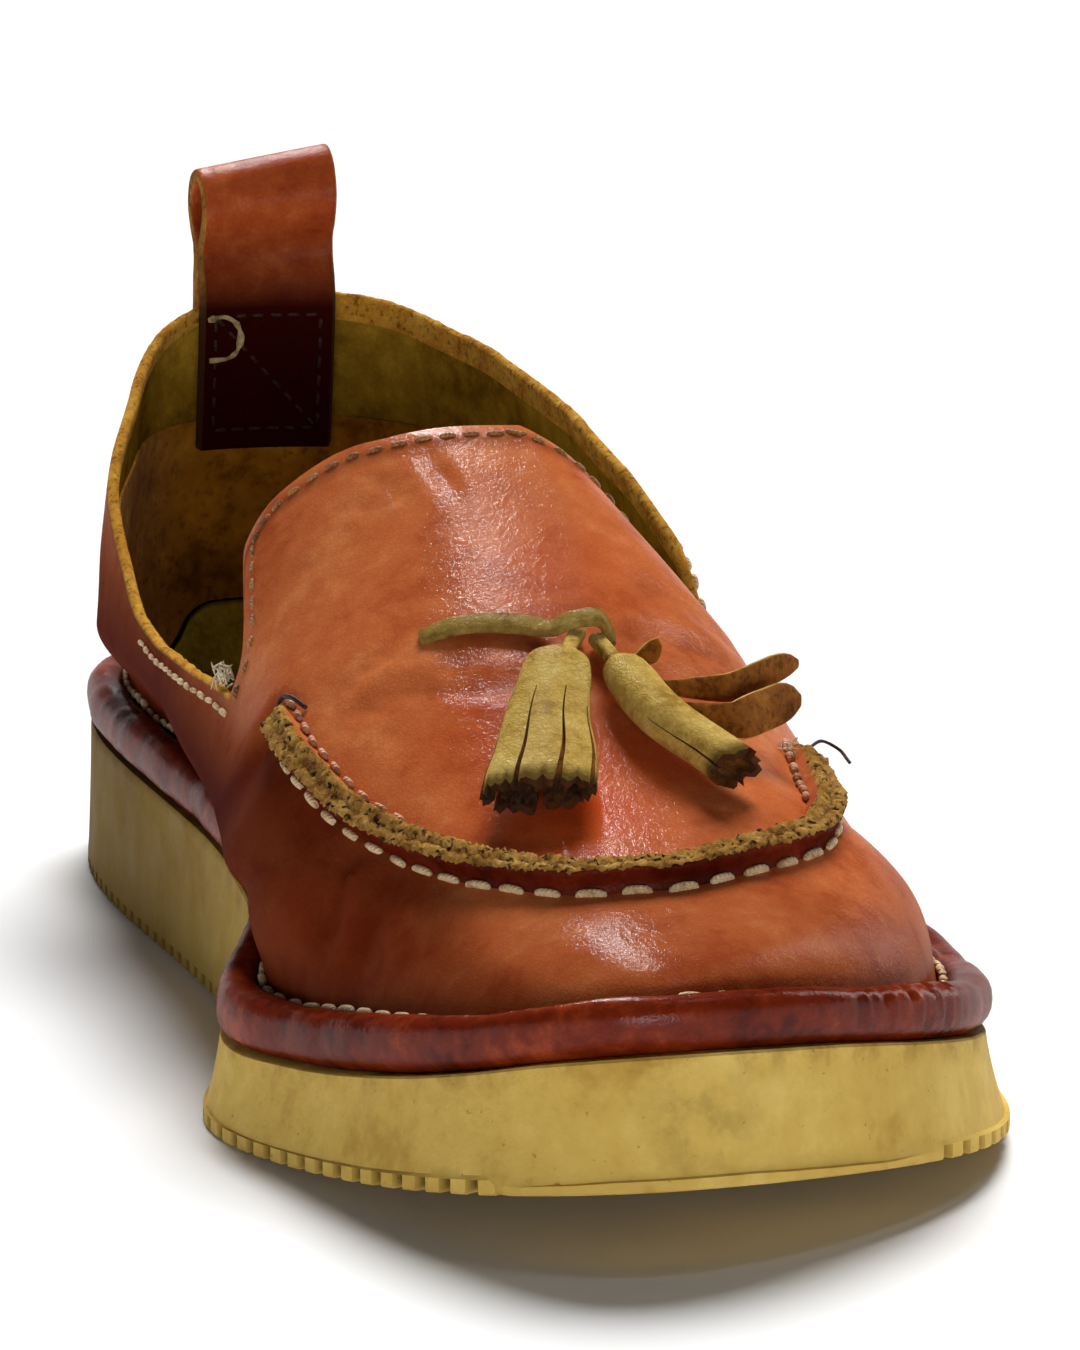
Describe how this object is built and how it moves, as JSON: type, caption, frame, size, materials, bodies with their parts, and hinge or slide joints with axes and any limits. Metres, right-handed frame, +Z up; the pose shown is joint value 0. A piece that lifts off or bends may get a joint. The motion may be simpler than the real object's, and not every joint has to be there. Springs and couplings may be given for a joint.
{
  "type": "tassel loafer",
  "caption": "Slip-on leather loafer for a left foot, with a raised apron seam, tassels on the vamp, a heel pull loop, a rolled welt bead and a flared wedge sole.",
  "frame": {"origin": "middle of the part's box, on the floor under the sole", "axes": "+Z up from the floor, -Y towards the toe, +X towards the outer side of the left foot"},
  "size_m": [0.1164, 0.3036, 0.1225],
  "materials": {
    "sole_rubber": "matt cream crepe rubber, smudged and worn at the toe",
    "welt_leather": "dark red-brown rolled leather with a soft shine",
    "upper_leather": "smooth tan red-brown leather, polished, with soft creases",
    "raw_edge_leather": "fuzzy raw ochre cut edge",
    "insole_leather": "olive sock leather, slightly worn",
    "loop_leather": "red-brown strap leather with a raw ochre edge",
    "tassel_leather": "soft khaki leather with suede backs"
  },
  "bodies": {
    "root": {"outsole": "sole_rubber", "rolled_welt": "welt_leather", "upper": "upper_leather", "seam_ridge": "raw_edge_leather", "insole": "insole_leather", "pull_loop": "loop_leather", "tassel_thong": "tassel_leather", "tassel_front": "tassel_leather", "tassel_side": "tassel_leather"}
  },
  "joints": []
}
